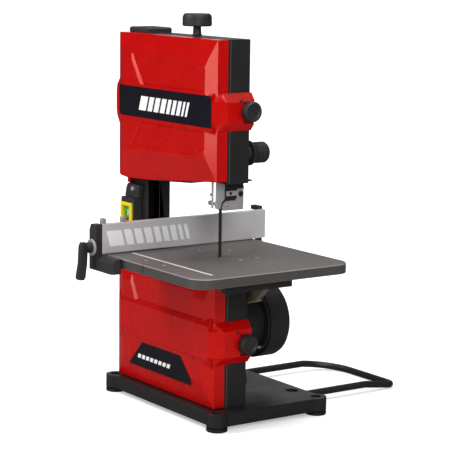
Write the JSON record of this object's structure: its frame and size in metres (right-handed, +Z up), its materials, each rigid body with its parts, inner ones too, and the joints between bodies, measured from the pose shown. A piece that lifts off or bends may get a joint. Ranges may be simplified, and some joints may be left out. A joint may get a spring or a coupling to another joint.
{
  "type": "bench band saw",
  "caption": "Bench band saw with cast tilting table, rip fence, hinged wheel doors, rack-raised blade guide, rear induction motor and folding-bar base.",
  "frame": {"origin": "on the floor, under the middle of the base plate", "axes": "+Z up, -Y towards the operator, +X the operator's right"},
  "size_m": [0.4395, 0.595, 0.6655],
  "materials": {
    "black_paint": "satin",
    "red_paint": "gloss",
    "cast_table": "machined",
    "cast_grey": "cast",
    "aluminium": "satin",
    "steel": "satin",
    "yellow_steel": "plated",
    "black_plastic": "matte",
    "yellow_plastic": "gloss",
    "green_plastic": "gloss",
    "red_plastic": "gloss",
    "insert_plastic": "satin",
    "rubber": "matte",
    "motor_grey": "satin"
  },
  "bodies": {
    "frame": {"base_plate": "black_paint", "rubber_feet": "rubber", "frame_screws": "steel", "support_bar": "black_paint", "column": "black_paint", "column_cap": "black_plastic", "upper_housing": "black_paint", "lower_housing": "black_paint", "door_hinges": "steel", "saw_blade": "steel", "guide_housing": "black_plastic", "lower_blade_guide": "aluminium", "motor_end_shields": "cast_grey", "motor_housing": "motor_grey", "motor_tie_rods": "yellow_steel", "stator_core": "steel", "motor_bearings": "steel", "fan_cover": "motor_grey", "motor_cable": "rubber", "dust_port": "black_plastic", "trunnion_bracket": "black_paint", "switch_box": "black_plastic", "switch_frame": "yellow_plastic", "switch_bracket": "black_plastic"},
    "upper_door_body": {"upper_door": "red_paint"},
    "lower_door_body": {"lower_door": "red_paint"},
    "upper_latch": {"upper_latch_knob": "black_plastic"},
    "lower_latch": {"lower_latch_knob": "black_plastic"},
    "upper_wheel_set": {"upper_wheel": "aluminium", "upper_tyre": "rubber", "upper_wheel_bearings": "steel"},
    "axle": {"axle_bracket": "steel", "axle_nut": "steel"},
    "carriage": {"tension_carriage": "steel", "tension_spring": "steel"},
    "tension": {"tension_knob": "black_plastic"},
    "tracking": {"tracking_knob": "black_plastic"},
    "drive": {"lower_wheel": "aluminium", "lower_tyre": "rubber", "rotor": "steel", "cooling_fan": "black_plastic"},
    "guide": {"guide_post": "steel", "guide_block": "aluminium", "guide_bracket": "black_paint", "guide_screws": "steel", "blade_guard": "steel"},
    "roller": {"thrust_roller": "steel"},
    "guide_drive": {"guide_pinion": "steel", "guide_knob": "black_plastic"},
    "table_group": {"table": "cast_table", "table_insert": "insert_plastic", "trunnion": "cast_grey", "table_rail": "black_paint"},
    "tilt_lock": {"tilt_lock_knob": "black_plastic"},
    "fence": {"fence_rail": "aluminium", "fence_clamp": "black_plastic", "fence_rear_hook": "black_plastic"},
    "fence_handle": {"fence_lever": "black_plastic"},
    "start": {"start_button": "green_plastic"},
    "stop": {"stop_button": "red_plastic"}
  },
  "joints": [
    {"name": "upper_door_swing", "type": "hinge", "parent": "frame", "child": "upper_door_body", "pos_m": [-0.158, -0.078, 0.516], "axis": [0, 0, -1], "range_deg": [0, 110]},
    {"name": "lower_door_swing", "type": "hinge", "parent": "frame", "child": "lower_door_body", "pos_m": [-0.158, -0.078, 0.1375], "axis": [0, 0, -1], "range_deg": [0, 110]},
    {"name": "upper_latch_turn", "type": "hinge", "parent": "upper_door_body", "child": "upper_latch", "pos_m": [0.157, -0.046, 0.516], "axis": [1, 0, 0], "continuous": true},
    {"name": "lower_latch_turn", "type": "hinge", "parent": "lower_door_body", "child": "lower_latch", "pos_m": [0.157, -0.046, 0.1375], "axis": [1, 0, 0], "continuous": true},
    {"name": "table_tilt", "type": "hinge", "parent": "frame", "child": "table_group", "pos_m": [0.105, -0.0175, 0.2754], "axis": [0, 1, 0], "range_deg": [0, 45]},
    {"name": "tilt_lock_turn", "type": "hinge", "parent": "frame", "child": "tilt_lock", "pos_m": [0.105, -0.003, 0.2154], "axis": [0, 1, 0], "range_deg": [0, 180]},
    {"name": "blade_tension", "type": "slide", "parent": "frame", "child": "carriage", "axis": [0, 0, 1], "range_m": [-0.0075, 0]},
    {"name": "tension_knob_turn", "type": "hinge", "parent": "frame", "child": "tension", "pos_m": [0.0025, -0.0435, 0.64], "axis": [0, 0, 1], "range_deg": [0, 1800]},
    {"name": "tracking_tilt", "type": "hinge", "parent": "carriage", "child": "axle", "pos_m": [0.0025, -0.049, 0.48], "axis": [1, 0, 0], "range_deg": [0, 1.5]},
    {"name": "tracking_knob_turn", "type": "hinge", "parent": "carriage", "child": "tracking", "pos_m": [0.0025, -0.03, 0.53], "axis": [0, 1, 0], "range_deg": [0, 380]},
    {"name": "drive_spin", "type": "hinge", "parent": "frame", "child": "drive", "pos_m": [0.0025, -0.0615, 0.1375], "axis": [0, 1, 0], "continuous": true},
    {"name": "upper_wheel_spin", "type": "hinge", "parent": "axle", "child": "upper_wheel_set", "pos_m": [0.0025, -0.0615, 0.516], "axis": [0, 1, 0], "continuous": true},
    {"name": "guide_height", "type": "slide", "parent": "frame", "child": "guide", "axis": [0, 0, 1], "range_m": [-0.07, 0]},
    {"name": "guide_knob_turn", "type": "hinge", "parent": "frame", "child": "guide_drive", "pos_m": [0.1112, -0.024, 0.443], "axis": [0, 1, 0], "range_deg": [-450, 0]},
    {"name": "thrust_roller_spin", "type": "hinge", "parent": "guide", "child": "roller", "pos_m": [0.10525, -0.0508, 0.3855], "axis": [1, 0, 0], "continuous": true},
    {"name": "fence_slide", "type": "slide", "parent": "table_group", "child": "fence", "axis": [-1, 0, 0], "range_m": [-0.07, 0]},
    {"name": "fence_lever_turn", "type": "hinge", "parent": "fence", "child": "fence_handle", "pos_m": [-0.015, -0.234, 0.288], "axis": [0, 1, 0], "range_deg": [0, 90]},
    {"name": "start_button_press", "type": "slide", "parent": "frame", "child": "start", "axis": [0, 1, 0], "range_m": [0, 0.0015]},
    {"name": "stop_button_press", "type": "slide", "parent": "frame", "child": "stop", "axis": [0, 1, 0], "range_m": [0, 0.0015]}
  ],
  "couplings": [
    {"joint": "tension_knob_turn", "follows": "blade_tension", "rad_per_m": -4188.8},
    {"joint": "tracking_knob_turn", "follows": "tracking_tilt", "ratio": 251.3},
    {"joint": "upper_wheel_spin", "follows": "drive_spin", "ratio": 1},
    {"joint": "guide_knob_turn", "follows": "guide_height", "rad_per_m": 111.11}
  ]
}
